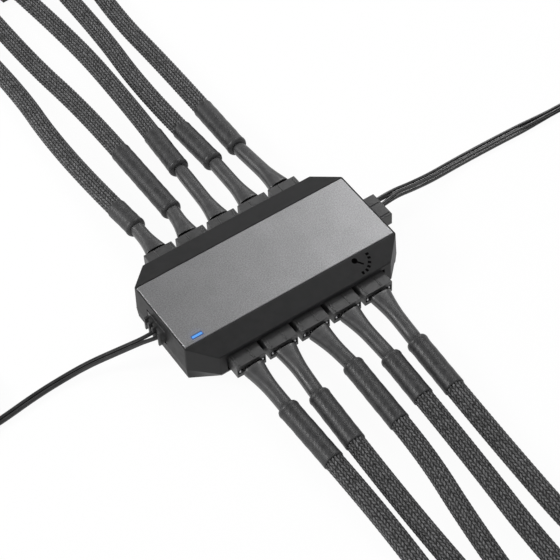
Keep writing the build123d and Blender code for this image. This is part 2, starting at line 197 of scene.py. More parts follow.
# Materials: each has its own mottling, grain and gloss, on Object coordinates or on the piece's weave
def newMaterial(name, roughness, metallic=0.0, specular=0.35):
    material = bpy.data.materials.new(name)
    material.use_nodes = True
    shader = material.node_tree.nodes["Principled BSDF"]
    shader.inputs["Specular IOR Level"].default_value = specular
    shader.inputs["Roughness"].default_value = roughness
    shader.inputs["Metallic"].default_value = metallic
    return material, material.node_tree, shader


def addNoise(tree, size, detail, stretch=(1, 1, 1), roughness=0.5):
    # Noise with features of the given size in millimetres
    place = tree.nodes.new("ShaderNodeTexCoord")
    mapping = tree.nodes.new("ShaderNodeMapping")
    mapping.inputs["Scale"].default_value = stretch
    noise = tree.nodes.new("ShaderNodeTexNoise")
    noise.inputs["Scale"].default_value = 1 / (size * mm)
    noise.inputs["Detail"].default_value = detail
    noise.inputs["Roughness"].default_value = roughness
    tree.links.new(place.outputs["Object"], mapping.inputs["Vector"])
    tree.links.new(mapping.outputs["Vector"], noise.inputs["Vector"])
    return noise.outputs["Fac"]


def addRamp(tree, source, stops):
    ramp = tree.nodes.new("ShaderNodeValToRGB")
    while len(ramp.color_ramp.elements) < len(stops):
        ramp.color_ramp.elements.new(0.5)
    for element, (place, colour) in zip(ramp.color_ramp.elements, stops):
        element.position = place
        element.color = (*colour, 1)
    tree.links.new(source, ramp.inputs["Fac"])
    return ramp.outputs["Color"]


def addBump(tree, shader, sources):
    # Each source is a height, its depth in millimetres and its strength; they are stacked
    last = None
    for height, depth, strength in sources:
        bump = tree.nodes.new("ShaderNodeBump")
        bump.inputs["Distance"].default_value = depth * mm
        bump.inputs["Strength"].default_value = strength
        tree.links.new(height, bump.inputs["Height"])
        if last:
            tree.links.new(last.outputs["Normal"], bump.inputs["Normal"])
        last = bump
    tree.links.new(last.outputs["Normal"], shader.inputs["Normal"])


mottling = {
    "detail": 3,
    "stops": (0.35, 0.65),
    "glossier": 0.04,
    "duller": 0.05,
    "grainDetail": 2,
    "grainStrength": 0.5,
}


def addMottling(tree, shader, size, dark, light, glossy, dull):
    # Slow mottling in colour and gloss
    cloud = addNoise(tree, size, mottling["detail"])
    colours = addRamp(tree, cloud, list(zip(mottling["stops"], (dark, light))))
    tree.links.new(colours, shader.inputs["Base Color"])
    tree.links.new(addRange(tree, cloud, glossy, dull), shader.inputs["Roughness"])


def moulded(name, dark, light, roughness, grain, depth, mottle=3.0, metallic=0.0, specular=0.35):
    # Moulded or cast surface: slow mottling and a fine eroded grain
    material, tree, shader = newMaterial(name, roughness, metallic, specular)
    glossy, dull = roughness - mottling["glossier"], roughness + mottling["duller"]
    addMottling(tree, shader, mottle, dark, light, glossy, dull)
    fine = addNoise(tree, grain, mottling["grainDetail"])
    addBump(tree, shader, [(fine, depth, mottling["grainStrength"])])
    return material


window = {
    "centre": (-32.6, -12.0, 14.5),
    "half": (2.0, 0.7),
    "rim": 0.544,
    "rimColour": (0.006, 0.030, 0.14),
    "coreColour": (0.065, 0.200, 0.47),
    "coreTo": 0.40,
    "rimFrom": 0.62,
    "glow": 0.9,
    "roughness": 0.25,
    "frost": 0.3,
    "frostDetail": 2,
    "frostDepth": 0.01,
    "frostStrength": 0.3,
}
plate = {
    "dark": (0.160, 0.160, 0.163),
    "light": (0.305, 0.305, 0.310),
    "stops": (0.36, 0.64),
    "roughness": 0.42,
    "grain": 0.33,
    "grainDetail": 3,
    "grainRoughness": 0.7,
    "depth": 0.012,
    "strength": 0.55,
    "cloud": 9.0,
    "cloudDetail": 2,
    "cloudShare": 0.12,
    "haloFrom": 1.2,
    "haloReach": 3.6,
    "haloColour": (0.03, 0.14, 0.55),
    "haloStrength": 0.07,
}


def plateFinish():
    # Bead-blasted aluminium: dense small pits, with the window's light bleeding over its rim
    material, tree, shader = newMaterial("beadBlastedPlate", plate["roughness"], 1.0)
    pits = addNoise(tree, plate["grain"], plate["grainDetail"], roughness=plate["grainRoughness"])
    cloud = addNoise(tree, plate["cloud"], plate["cloudDetail"])
    fine = addMath(tree, "MULTIPLY", pits, 1 - plate["cloudShare"])
    both = addMath(tree, "MULTIPLY_ADD", cloud, plate["cloudShare"], fine)
    colours = addRamp(tree, both, list(zip(plate["stops"], (plate["dark"], plate["light"]))))
    tree.links.new(colours, shader.inputs["Base Color"])
    addBump(tree, shader, [(pits, plate["depth"], plate["strength"])])
    place = tree.nodes.new("ShaderNodeTexCoord")
    away = tree.nodes.new("ShaderNodeVectorMath")
    away.operation = "DISTANCE"
    away.inputs[1].default_value = [value * mm for value in window["centre"]]
    tree.links.new(place.outputs["Object"], away.inputs[0])
    near, far = plate["haloFrom"] * mm, plate["haloReach"] * mm
    halo = addRange(tree, away.outputs["Value"], plate["haloStrength"], 0.0, near, far)
    halo.node.interpolation_type = "SMOOTHERSTEP"
    shader.inputs["Emission Color"].default_value = (*plate["haloColour"], 1)
    tree.links.new(halo, shader.inputs["Emission Strength"])
    return material


def windowFinish():
    # Clear light pipe lit blue from below: pale in the middle, darker at its rim
    material, tree, shader = newMaterial("litWindow", window["roughness"])
    place = tree.nodes.new("ShaderNodeTexCoord")
    split = tree.nodes.new("ShaderNodeSeparateXYZ")
    tree.links.new(place.outputs["Object"], split.inputs[0])
    edges = []
    for axis, middle, half in zip("XY", window["centre"], window["half"]):
        offset = addMath(tree, "SUBTRACT", split.outputs[axis], middle * mm)
        size = addMath(tree, "ABSOLUTE", offset)
        edges.append(addRange(tree, size, 0.0, 1.0, (half - window["rim"]) * mm, half * mm))
    rim = addMath(tree, "MAXIMUM", *edges)
    stops = [(window["coreTo"], window["coreColour"]), (window["rimFrom"], window["rimColour"])]
    glow = addRamp(tree, rim, stops)
    tree.links.new(glow, shader.inputs["Emission Color"])
    tree.links.new(glow, shader.inputs["Base Color"])
    shader.inputs["Emission Strength"].default_value = window["glow"]
    frost = addNoise(tree, window["frost"], window["frostDetail"])
    addBump(tree, shader, [(frost, window["frostDepth"], window["frostStrength"])])
    return material


weave = {
    "columns": 18,
    "cornersAColumn": 5,
    "pitch": 1.45,
    "ringsAPitch": 6,
    "slant": 0.9,
    "sharpness": 2.6,
    "relief": 0.36,
    "foot": 2.80,
    "stops": (0.18, 0.44, 0.90),
    # By weave height: painted shade in the grooves, the yarn's own colour, then a painted highlight on the
    # crests
    "paintedGrooveShade": (0.0008, 0.0008, 0.0009),
    "yarn": (0.055, 0.055, 0.056),
    "paintedCrestHighlight": (0.160, 0.160, 0.163),
    "roughness": 0.52,
    "specular": 0.25,
    "sheen": 0.08,
    "patch": 1.1,
    "patchDetail": 1,
    "patchLift": (0.45, 1.12),
    "fibre": 0.11,
    "fibreDetail": 2,
    "fibreStretch": (1, 0.25, 1),
    "fibreDepth": 0.02,
    "fibreStrength": 0.6,
}


def braidFinish():
    # Braided yarn: near-black painted shade in the grooves, a lighter grey painted highlight on the crests
    # that differs from grain to grain, and fine fibres
    material, tree, shader = newMaterial("braidedYarn", weave["roughness"], specular=weave["specular"])
    paintedCrestHighlight = tree.nodes.new("ShaderNodeAttribute")
    paintedCrestHighlight.attribute_name = "weaveHeight"
    patches = addNoise(tree, weave["patch"], weave["patchDetail"])
    lift = addRange(tree, patches, *weave["patchLift"])
    height = addMath(tree, "MULTIPLY", paintedCrestHighlight.outputs["Fac"], lift)
    stops = list(zip(weave["stops"], (weave["paintedGrooveShade"], weave["yarn"], weave["paintedCrestHighlight"])))
    tree.links.new(addRamp(tree, height, stops), shader.inputs["Base Color"])
    fibres = addNoise(tree, weave["fibre"], weave["fibreDetail"], stretch=weave["fibreStretch"])
    addBump(tree, shader, [(fibres, weave["fibreDepth"], weave["fibreStrength"])])
    shader.inputs["Sheen Weight"].default_value = weave["sheen"]
    return material


satin = {
    "dark": (0.044, 0.044, 0.045),
    "light": (0.060, 0.060, 0.061),
    "roughness": 0.36,
    "gloss": (0.32, 0.42),
    "specular": 0.42,
    "mottle": 2.4,
    "crease": 1.0,
    "creaseDetail": 2,
    "creaseStretch": (1, 0.18, 1),
    "creaseDepth": 0.06,
    "creaseStrength": 0.30,
    "peel": 0.8,
    "peelDetail": 1,
    "peelDepth": 0.008,
    "peelStrength": 0.20,
}


def shrinkFinish():
    # Heat-shrink tube: satin skin with faint lengthwise creases and a slight orange peel
    material, tree, shader = newMaterial("satinShrink", satin["roughness"], specular=satin["specular"])
    addMottling(tree, shader, satin["mottle"], satin["dark"], satin["light"], *satin["gloss"])
    creases = addNoise(tree, satin["crease"], satin["creaseDetail"], stretch=satin["creaseStretch"])
    peel = addNoise(tree, satin["peel"], satin["peelDetail"])
    addBump(tree, shader, [
        (creases, satin["creaseDepth"], satin["creaseStrength"]),
        (peel, satin["peelDepth"], satin["peelStrength"]),
    ])
    return material


overYarn = {
    "dark": (0.026, 0.026, 0.027),
    "light": (0.042, 0.042, 0.043),
    "roughness": 0.42,
    "gloss": (0.38, 0.48),
    "mottle": 1.8,
    "yarnTurn": 38,
    "yarnWave": 3.2,
    "yarnDistortion": 2.5,
    "yarnDetail": 1,
    "yarnDetailScale": 1.5,
    "yarnDepth": 0.05,
    "yarnStrength": 0.35,
    "peel": 1.1,
    "peelDetail": 1,
    "peelDepth": 0.020,
    "peelStrength": 0.25,
}


def collarFinish():
    # The same tube shrunk over the braid, so the yarns show through as faint diagonal bumps
    material, tree, shader = newMaterial("shrinkOverBraid", overYarn["roughness"])
    addMottling(tree, shader, overYarn["mottle"], overYarn["dark"], overYarn["light"], *overYarn["gloss"])
    place = tree.nodes.new("ShaderNodeTexCoord")
    turned = tree.nodes.new("ShaderNodeMapping")
    turned.inputs["Rotation"].default_value = (0, 0, math.radians(overYarn["yarnTurn"]))
    waves = tree.nodes.new("ShaderNodeTexWave")
    waves.inputs["Scale"].default_value = 1 / (overYarn["yarnWave"] * mm)
    waves.inputs["Distortion"].default_value = overYarn["yarnDistortion"]
    waves.inputs["Detail"].default_value = overYarn["yarnDetail"]
    waves.inputs["Detail Scale"].default_value = overYarn["yarnDetailScale"]
    tree.links.new(place.outputs["Object"], turned.inputs["Vector"])
    tree.links.new(turned.outputs["Vector"], waves.inputs["Vector"])
    peel = addNoise(tree, overYarn["peel"], overYarn["peelDetail"])
    addBump(tree, shader, [
        (waves.outputs["Fac"], overYarn["yarnDepth"], overYarn["yarnStrength"]),
        (peel, overYarn["peelDepth"], overYarn["peelStrength"]),
    ])
    return material


# Each slot's finish: darkest and lightest colour, roughness, then the grain's size and depth in millimetres
finishes = {
    "bead_blasted_plate": plateFinish(),
    "housing_plastic": moulded(
        "texturedHousing", (0.010, 0.010, 0.0105), (0.015, 0.015, 0.0155), 0.50, 0.18, 0.012, specular=0.24,
    ),
    "board_laminate": moulded(
        "boardLaminate", (0.010, 0.030, 0.014), (0.014, 0.040, 0.018), 0.45, 0.30, 0.010,
    ),
    "light_pipe": windowFinish(),
    "led_body": moulded("ledBody", (0.62, 0.60, 0.50), (0.72, 0.70, 0.58), 0.35, 0.10, 0.004),
    "chip_body": moulded("chipBody", (0.020, 0.020, 0.022), (0.030, 0.030, 0.032), 0.55, 0.08, 0.004),
    "capacitor_can": moulded(
        "capacitorCan", (0.60, 0.60, 0.61), (0.70, 0.70, 0.71), 0.28, 0.5, 0.004, mottle=4.0, metallic=1.0,
    ),
    "header_plastic": moulded(
        "headerPlastic", (0.020, 0.020, 0.020), (0.028, 0.028, 0.028), 0.42, 0.15, 0.006,
    ),
    "plated_pins": moulded(
        "platedPins", (0.70, 0.58, 0.34), (0.80, 0.68, 0.42), 0.26, 0.10, 0.003, mottle=1.0, metallic=1.0,
    ),
    "screw_steel": moulded(
        "screwSteel", (0.30, 0.30, 0.31), (0.40, 0.40, 0.41), 0.33, 0.12, 0.004, mottle=1.0, metallic=1.0,
    ),
    "foam_pad": moulded("foamPad", (0.055, 0.055, 0.056), (0.085, 0.085, 0.087), 0.88, 0.35, 0.10),
    "plug_plastic": moulded(
        "plugPlastic", (0.043, 0.043, 0.0435), (0.056, 0.056, 0.0565), 0.40, 0.14, 0.010,
    ),
    "socket_plastic": moulded(
        "socketPlastic", (0.018, 0.018, 0.0185), (0.026, 0.026, 0.0265), 0.45, 0.15, 0.010,
    ),
    "heat_shrink": shrinkFinish(),
    "braided_sleeve": braidFinish(),
    "wire_insulation": moulded(
        "wireInsulation", (0.012, 0.012, 0.0125), (0.020, 0.020, 0.0205), 0.30, 1.20, 0.001, specular=0.60,
    ),
}
overBraid = collarFinish()
print("materials made")


# The CAD's rigid nodes keep their shape; their edges are broken by these widths, in millimetres, and each
# gets its finish
breaks = {
    "top_plate": 0.10, "upper_shell": 0.14, "lower_shell": 0.14, "light_window": 0.05, "adhesive_pad": 0.20,
    "circuit_board": 0.08, "port_headers": 0.06, "header_pins": 0.05, "base_screws": 0.05,
    "filter_capacitor": 0.12, "plug": 0.10, "socket": 0.14, "connector": 0.16,
}
softening = {
    "weld": 0.002,
    "segments": 2,
    "sharpFrom": 28,
}


def dressNodes():
    for name, node in nodes.items():
        for place in node.material_slots:
            place.material = finishes[place.material.name.split(".")[0]]
        width = breaks.get(name) or next((size for key, size in breaks.items() if key in name), None)
        if width is None:
            continue
        weld = node.modifiers.new("weld", "WELD")
        weld.merge_threshold = softening["weld"] * mm
        bevel = node.modifiers.new("edgeBreak", "BEVEL")
        bevel.width = width * mm
        bevel.segments = softening["segments"]
        bevel.limit_method = "ANGLE"
        bevel.angle_limit = math.radians(softening["sharpFrom"])
        bevel.harden_normals = True


dressNodes()
print("frame dressed")


# Sleeved leads, in millimetres, from the left end: collar length, where the collar starts, sleeve route
sleeved = {
    "diameter": 6.2,
    "sleeveHeight": 3.2,
    "portHeight": 8.1,
    "plugRear": 26.7,
    "portPitch": 11.6,
    "middlePort": 3,
    "seedASide": 3,
}
frontLeads = [
    (23.0, (-22.4, -43.8, 6.0), [(-20.4, -92.0), (-22.6, -131.0), (-27.0, -166.2)]),
    (20.0, (-12.4, -45.3, 6.0), [(-13.3, -91.0), (-12.9, -130.0), (-14.8, -166.5)]),
    (24.5, (2.0, -42.2, 6.1), [(2.0, -80.0), (-1.7, -104.0), (-4.8, -135.0), (-2.6, -165.9)]),
    (17.5, (12.9, -46.4, 6.0), [(12.4, -86.0), (9.4, -127.0), (10.8, -166.3)]),
    (20.0, (22.7, -46.3, 6.0), [(21.8, -88.0), (20.8, -128.5), (24.0, -166.4)]),
]
backLeads = [
    (12.0, (-23.0, 39.8, 7.2), [(-25.3, 85.0), (-22.4, 127.0), (-26.2, 166.1)]),
    (34.0, (-10.0, 39.5, 7.1), [(-9.1, 98.0), (-12.9, 133.0), (-13.2, 166.3)]),
    (19.5, (1.7, 53.9, 6.6), [(4.9, 97.0), (4.8, 132.0), (1.2, 166.2)]),
    (20.3, (12.3, 49.5, 6.8), [(11.9, 95.0), (14.9, 131.5), (14.4, 166.4)]),
    (23.4, (22.4, 50.8, 6.4), [(24.3, 101.0), (23.2, 135.0), (26.9, 166.4)]),
]
sides = {"front": (-1, frontLeads), "back": (1, backLeads)}
spline = {
    "order": 3,
    "resolution": 24,
}


def easeBetween(value, low, high):
    part = min(max((value - low) / (high - low), 0), 1)
    return part * part * (3 - 2 * part)


def addRoute(name, points):
    # One open NURBS spline with the route's points, put into metres, as its control points
    curve = bpy.data.curves.new(name, "CURVE")
    curve.dimensions = "3D"
    curve.resolution_u = spline["resolution"]
    line = curve.splines.new("NURBS")
    line.points.add(len(points) - 1)
    for spot, point in zip(line.points, points):
        spot.co = (*[value * mm for value in point], 1)
    line.order_u = spline["order"]
    line.use_endpoint_u = True
    piece = bpy.data.objects.new(name, curve)
    scene.collection.objects.link(piece)
    return piece


def pathOf(name, points):
    route = addRoute(name, points)
    mesh = bpy.data.meshes.new_from_object(route.evaluated_get(bpy.context.evaluated_depsgraph_get()))
    path = [vertex.co.copy() for vertex in mesh.vertices]
    bpy.data.meshes.remove(mesh)
    bpy.data.objects.remove(route)
    return path


def evenly(path, step):
    # The same line with points a step apart, so that a pattern along it keeps its size
    runs = [0.0]
    for before, after in zip(path, path[1:]):
        runs.append(runs[-1] + (after - before).length)
    count = max(2, round(runs[-1] / step))
    points, index = [], 0
    for number in range(count + 1):
        run = runs[-1] * number / count
        while index < len(runs) - 2 and runs[index + 1] < run:
            index += 1
        share = (run - runs[index]) / (runs[index + 1] - runs[index])
        points.append(path[index].lerp(path[index + 1], share))
    return points


def walk(path):
    # Place, heading, side and distance at each point, with the side turned as little as possible
    run = 0.0
    heading = (path[1] - path[0]).normalized()
    side = heading.cross(Vector((0, 0, 1))).normalized()
    steps = []
    for index, spot in enumerate(path):
        before = path[max(index - 1, 0)]
        turned = (path[min(index + 1, len(path) - 1)] - before).normalized()
        side = heading.rotation_difference(turned) @ side
        side = (side - turned * side.dot(turned)).normalized()
        heading = turned
        run += (spot - before).length
        steps.append((spot, heading, side, run))
    return steps


def circleOf(corners):
    return [(math.cos(math.tau * c / corners), math.sin(math.tau * c / corners)) for c in range(corners)]


def tubeFaces(base, rings, corners):
    faces = []
    for ring in range(rings - 1):
        for corner in range(corners):
            a = base + ring * corners + corner
            b = base + ring * corners + (corner + 1) % corners
            faces.append((a, b, b + corners, a + corners))
    faces.append(tuple(base + corner for corner in reversed(range(corners))))
    faces.append(tuple(base + (rings - 1) * corners + corner for corner in range(corners)))
    return faces


def addMesh(name, verts, faces, material):
    mesh = bpy.data.meshes.new(name)
    mesh.from_pydata(verts, [], faces)
    mesh.shade_smooth()
    mesh.materials.append(material)
    piece = bpy.data.objects.new(name, mesh)
    scene.collection.objects.link(piece)
    return piece


def weaveTable(corners):
    # Height of the yarns over one pitch: slanted grains in columns, each column leaning the other way
    table = []
    for ring in range(weave["ringsAPitch"]):
        row = []
        for corner in range(corners):
            place = corner / weave["cornersAColumn"]
            column = int(place)
            across = place - column - 0.5
            lean = weave["slant"] if column % 2 else -weave["slant"]
            along = ring / weave["ringsAPitch"] + across * lean + (0.5 if column % 2 else 0)
            along = along % 1 - 0.5
            dome = math.sqrt(max(0, 1 - 4 * across * across))
            row.append(dome * (1 - abs(2 * along) ** weave["sharpness"]))
        table.append(row)
    return table


def addBraid(name, path):
    corners = weave["columns"] * weave["cornersAColumn"]
    table = weaveTable(corners)
    circle = circleOf(corners)
    steps = walk(evenly(path, weave["pitch"] * mm / weave["ringsAPitch"]))
    verts, heights = [], []
    for ring, (spot, heading, side, _) in enumerate(steps):
        upward = heading.cross(side)
        row = table[ring % weave["ringsAPitch"]]
        for (across, up), height in zip(circle, row):
            radius = (weave["foot"] + weave["relief"] * height) * mm
            verts.append(spot + side * (across * radius) + upward * (up * radius))
            heights.append(height)
    piece = addMesh(name, verts, tubeFaces(0, len(steps), corners), finishes["braided_sleeve"])
    marks = piece.data.attributes.new("weaveHeight", "FLOAT", "POINT")
    marks.data.foreach_set("value", heights)
    return piece, steps


# Boots and collars of heat-shrink tube, drawn out ring by ring along +Z and then set in place
boot = {
    "mouthWidth": 7.3,
    "mouthHeight": 4.5,
    "mouthDepth": 2.4,
    "recess": (0.90, 0.92),
    "lip": 0.02,
    "wall": 0.42,
    "gap": 0.75,
    "flare": 11.0,
    "flareShare": 0.72,
    "flareRings": 9,
    "flareCurve": 1.7,
    "rounding": 1.15,
    "neck": 4.8,
    "waists": (0.985, 0.99, 1.0),
    "overlap": 1.6,
    "cornerShare": 0.72,
    "cornerSegments": 5,
    "smooth": 60,
}
collar = {
    "radius": 3.35,
    "corners": 40,
    "shoulder": [
        (0.0, 2.42), (0.12, 2.85), (0.42, 3.24), (0.95, 3.46), (1.5, 3.50), (1.9, 3.40), (2.3, 3.37),
    ],
    "ripple": 0.035,
    "rippleFrom": 2.3,
    "plain": 3.2,
    "waves": [(1.0, 1.9, 1.0), (0.6, 0.83, 2.1)],
    "ringStep": 1.3,
    "end": [(-0.55, 3.40), (-0.18, 3.40), (-0.03, 3.30), (0.0, 3.15)],
    "smooth": 50,
}


def ringSize():
    # Width and thickness of the ring that is being drawn out
    spots = [vertex.co for vertex in bmesh.from_edit_mesh(bpy.context.object.data).verts if vertex.select]
    return [max(spot[axis] for spot in spots) - min(spot[axis] for spot in spots) for axis in (0, 1)]


def startPiece():
    bpy.ops.object.mode_set(mode="EDIT")
    bpy.ops.mesh.select_all(action="SELECT")


def drawRing(height, previous):
    bpy.ops.mesh.extrude_region_move(TRANSFORM_OT_translate={"value": (0, 0, height - previous)})


def finishPiece(name, material, smooth):
    bpy.ops.mesh.select_all(action="SELECT")
    bpy.ops.mesh.normals_make_consistent(inside=False)
    bpy.ops.object.mode_set(mode="OBJECT")
    piece = bpy.context.object
    piece.name = name
    piece.data.name = name
    piece.data.materials.clear()
    piece.data.materials.append(material)
    bpy.ops.object.shade_smooth_by_angle(angle=math.radians(smooth))
    return piece


def applyModifier(piece, kind, **values):
    modifier = piece.modifiers.new(kind.lower(), kind)
    for key, value in values.items():
        setattr(modifier, key, value)
    bpy.ops.object.modifier_apply(modifier=modifier.name)


def settle(piece):
    # The piece's place, turn and scale go into its mesh
    bpy.ops.object.select_all(action="DESELECT")
    piece.select_set(True)
    bpy.context.view_layer.objects.active = piece
    bpy.ops.object.transform_apply(location=True, rotation=True, scale=True)


def setAlong(piece, origin, direction):
    # Local +Z goes along the direction, and local X stays level
    ahead = direction.normalized()
    level = Vector((1, 0, 0))
    level = (level - ahead * level.dot(ahead)).normalized()
    turn = Matrix((level, ahead.cross(level), ahead)).transposed().to_4x4()
    piece.matrix_world = Matrix.Translation(origin * mm) @ turn
    settle(piece)


def bootRings(length):
    # Height along the boot, width, thickness and how round the ring is, mouth recess first
    inner = (boot["mouthWidth"] - 2 * boot["wall"], boot["mouthHeight"] - 2 * boot["wall"])
    flare = min(boot["flare"], length * boot["flareShare"])
    recess = [size * share for size, share in zip(inner, boot["recess"])]
    rings = [
        (boot["gap"] + boot["mouthDepth"], *recess, 0.0),
        (boot["gap"], *inner, 0.0),
        (boot["gap"] - boot["lip"], boot["mouthWidth"], boot["mouthHeight"], 0.0),
    ]
    for number in range(1, boot["flareRings"] + 1):
        share = number / boot["flareRings"]
        fall = (1 - share) ** boot["flareCurve"]
        rings.append((
            boot["gap"] + (flare - boot["gap"]) * share,
            boot["neck"] + (boot["mouthWidth"] - boot["neck"]) * fall,
            boot["neck"] + (boot["mouthHeight"] - boot["neck"]) * fall,
            min(1.0, share * boot["rounding"]),
        ))
    spare = length + boot["overlap"] - flare
    for number, waist in enumerate(boot["waists"], start=1):
        size = boot["neck"] * waist
        rings.append((flare + spare * number / len(boot["waists"]), size, size, 1.0))
    return rings


def makeBoot(name, origin, target):
    bpy.ops.object.select_all(action="DESELECT")
    bpy.ops.mesh.primitive_plane_add(size=2)
    startPiece()
    bpy.ops.mesh.bevel(offset=boot["cornerShare"], segments=boot["cornerSegments"], affect="VERTICES")
    bpy.ops.mesh.select_all(action="SELECT")
    past, rounded = 0.0, 0.0
    for number, (height, width, thickness, roundness) in enumerate(bootRings((target - origin).length)):
        if number:
            drawRing(height * mm, past)
        else:
            bpy.ops.transform.translate(value=(0, 0, height * mm))
        past = height * mm
        if roundness > rounded:
            wide, thick = ringSize()
            bpy.ops.transform.resize(value=(2 / wide, 2 / thick, 1), center_override=(0, 0, past))
            bpy.ops.transform.tosphere(value=(roundness - rounded) / (1 - rounded))
            rounded = roundness
        wide, thick = ringSize()
        grow = (width * mm / wide, thickness * mm / thick, 1)
        bpy.ops.transform.resize(value=grow, center_override=(0, 0, past))
    piece = finishPiece(name, finishes["heat_shrink"], boot["smooth"])
    applyModifier(piece, "SUBSURF", levels=1, render_levels=1)
    setAlong(piece, origin, target - origin)
    return piece


def makeCollar(name, origin, direction, length, seed):
    bpy.ops.object.select_all(action="DESELECT")
    bpy.ops.mesh.primitive_circle_add(vertices=collar["corners"], radius=1, fill_type="NGON")
    startPiece()
    rings = list(collar["shoulder"])
    rippled = length - collar["plain"]
    count = round(rippled / collar["ringStep"])
    for number in range(1, count):
        wave = sum(size * math.sin(number * turn + seed * shift) for size, turn, shift in collar["waves"])
        height = collar["rippleFrom"] + rippled * number / count
        rings.append((height, collar["radius"] + collar["ripple"] * wave))
    rings += [(length + drop, radius) for drop, radius in collar["end"]]
    past, size = 0.0, 1.0
    for number, (height, radius) in enumerate(rings):
        if number:
            drawRing(height * mm, past)
        past = height * mm
        grow = radius * mm / size
        bpy.ops.transform.resize(value=(grow, grow, 1), center_override=(0, 0, past))
        size = radius * mm
    piece = finishPiece(name, overBraid, collar["smooth"])
    setAlong(piece, origin, direction)
    return piece


# What shows behind each plug: four wires with their crimps, from the plug's openings into the boot
terminal = {
    "count": 4,
    "pitch": 2.54,
    "wire": {"radius": 0.56, "start": -1.8, "length": 4.6, "corners": 12},
    "crimp": {"radius": 0.62, "start": -0.95, "length": 0.9, "corners": 8},
    "gather": 0.70,
}
smallPiece = {
    "edge": 0.12,
    "segments": 2,
    "smooth": 40,
}


def breakEdges(piece, **limit):
    width, segments = smallPiece["edge"] * mm, smallPiece["segments"]
    applyModifier(piece, "BEVEL", width=width, segments=segments, limit_method="ANGLE", **limit)


def addRod(spec, x):
    bpy.ops.mesh.primitive_cylinder_add(
        vertices=spec["corners"], radius=spec["radius"] * mm, depth=spec["length"] * mm,
        location=(x * mm, 0, (spec["start"] + spec["length"] / 2) * mm),
    )
    rod = bpy.context.object
    breakEdges(rod, angle_limit=math.radians(smallPiece["smooth"]))
    return rod


def joinPieces(rods, name, material):
    bpy.ops.object.select_all(action="DESELECT")
    for rod in rods:
        rod.select_set(True)
    bpy.context.view_layer.objects.active = rods[0]
    bpy.ops.object.join()
    piece = bpy.context.object
    bpy.ops.object.transform_apply(location=True, rotation=True, scale=True)
    piece.name = name
    piece.data.materials.clear()
    piece.data.materials.append(material)
    bpy.ops.object.shade_smooth_by_angle(angle=math.radians(smallPiece["smooth"]))
    return piece


def makeTerminals():
    middle = (terminal["count"] - 1) / 2
    spots = [(number - middle) * terminal["pitch"] for number in range(terminal["count"])]
    wires = [addRod(terminal["wire"], x) for x in spots]
    crimps = [addRod(terminal["crimp"], x) for x in spots]
    wirePiece = joinPieces(wires, "wireMaster", finishes["wire_insulation"])
    for vertex in wirePiece.data.vertices:
        if vertex.co.z > 0:
            vertex.co.x *= terminal["gather"]
    return wirePiece, joinPieces(crimps, "crimpMaster", finishes["screw_steel"])


def copyPiece(master, name):
    piece = master.copy()
    piece.data = master.data.copy()
    piece.name = name
    piece.data.name = name
    scene.collection.objects.link(piece)
    return piece


def layLeads():
    wireMaster, crimpMaster = makeTerminals()
    for side, (outward, leads) in sides.items():
        for number, (collarLength, start, bends) in enumerate(leads, start=1):
            start = Vector(start)
            along = (number - sleeved["middlePort"]) * sleeved["portPitch"]
            port = Vector((along, outward * sleeved["plugRear"], sleeved["portHeight"]))
            route = [Vector((x, y, sleeved["sleeveHeight"])) for x, y in bends]
            heading = (route[0] - start).normalized()
            collarEnd = start + heading * collarLength
            path = pathOf(f"{side}_route_{number}", [collarEnd, *route])
            braid, steps = addBraid(f"{side}_braid_{number}", path)
            shrink = makeBoot(f"{side}_shrink_{number}", port, start)
            seed = number + sleeved["seedASide"] * outward
            band = makeCollar(f"{side}_collar_{number}", start, heading, collarLength, seed)
            wires = copyPiece(wireMaster, f"{side}_wires_{number}")
            crimps = copyPiece(crimpMaster, f"{side}_crimps_{number}")
            for piece in (wires, crimps):
                setAlong(piece, port, Vector((0, outward, 0)))
            for piece, slot in (
                (braid, "braided_sleeve"), (shrink, "heat_shrink"), (band, "heat_shrink"),
                (wires, "wire_insulation"), (crimps, "plated_pins"),
            ):
                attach(piece, "root")
            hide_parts(f"{side}_sleeve_{number}")
            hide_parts(f"{side}_boot_{number}")
            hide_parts(f"{side}_boot_{number}")
    for master in (wireMaster, crimpMaster):
        bpy.data.objects.remove(master)


layLeads()
print("sleeved leads laid")


# End leads, in millimetres: loose wires from the plug, the put-away turns, the tail to the far connector.
# Each wire has its place across and above the lead's line: at the plug, laid flat, and gathered
coil = {
    "pointsATurn": 12,
    "cornerCut": 0.9659,
    "inner": 13.15,
    "outer": 15.85,
    "low": 1.38,
    "high": 4.08,
    "goesIn": (300, 360),
    "goesUp": (615, 675),
    "goesOut": (915, 975),
    "turnsTo": 1170,
}
thinLead = {
    "sides": 14,
    "step": 0.75,
    "diameter": 2.6,
    "joinsAfter": 8.0,
}
powerLead = {
    "route": [
        (44.3, 2.94, 8.1), (50.0, 3.4, 8.3), (58.5, 4.2, 5.8), (67.5, 5.6, 3.1), (79.0, 7.0, 1.5),
        (93.0, 7.0, 1.4), (110.0, 6.5, 1.4), (121.0, 6.4, 1.4),
    ],
    "coilCentre": (134.5, -9.4),
    "coilFrom": 90,
    "end": [(149.9, -15.5, 3.6), (149.0, -22.0, 2.7)],
    "radius": 0.53,
    "atPlug": [(-1.27, 0.45), (-1.27, -0.62), (1.27, 0.45), (1.27, -0.62)],
    "flat": [(-1.26, 0.34), (-0.42, -0.34), (0.42, 0.34), (1.26, -0.34)],
    "gathered": [(-0.56, 0.56), (-0.56, -0.56), (0.56, 0.56), (0.56, -0.56)],
    "gathersFrom": 60.0,
    "gathersTo": 76.0,
    "replaces": ("power_lead", "power_coil"),
    "withPieces": ("power_plug", "power_connector"),
}
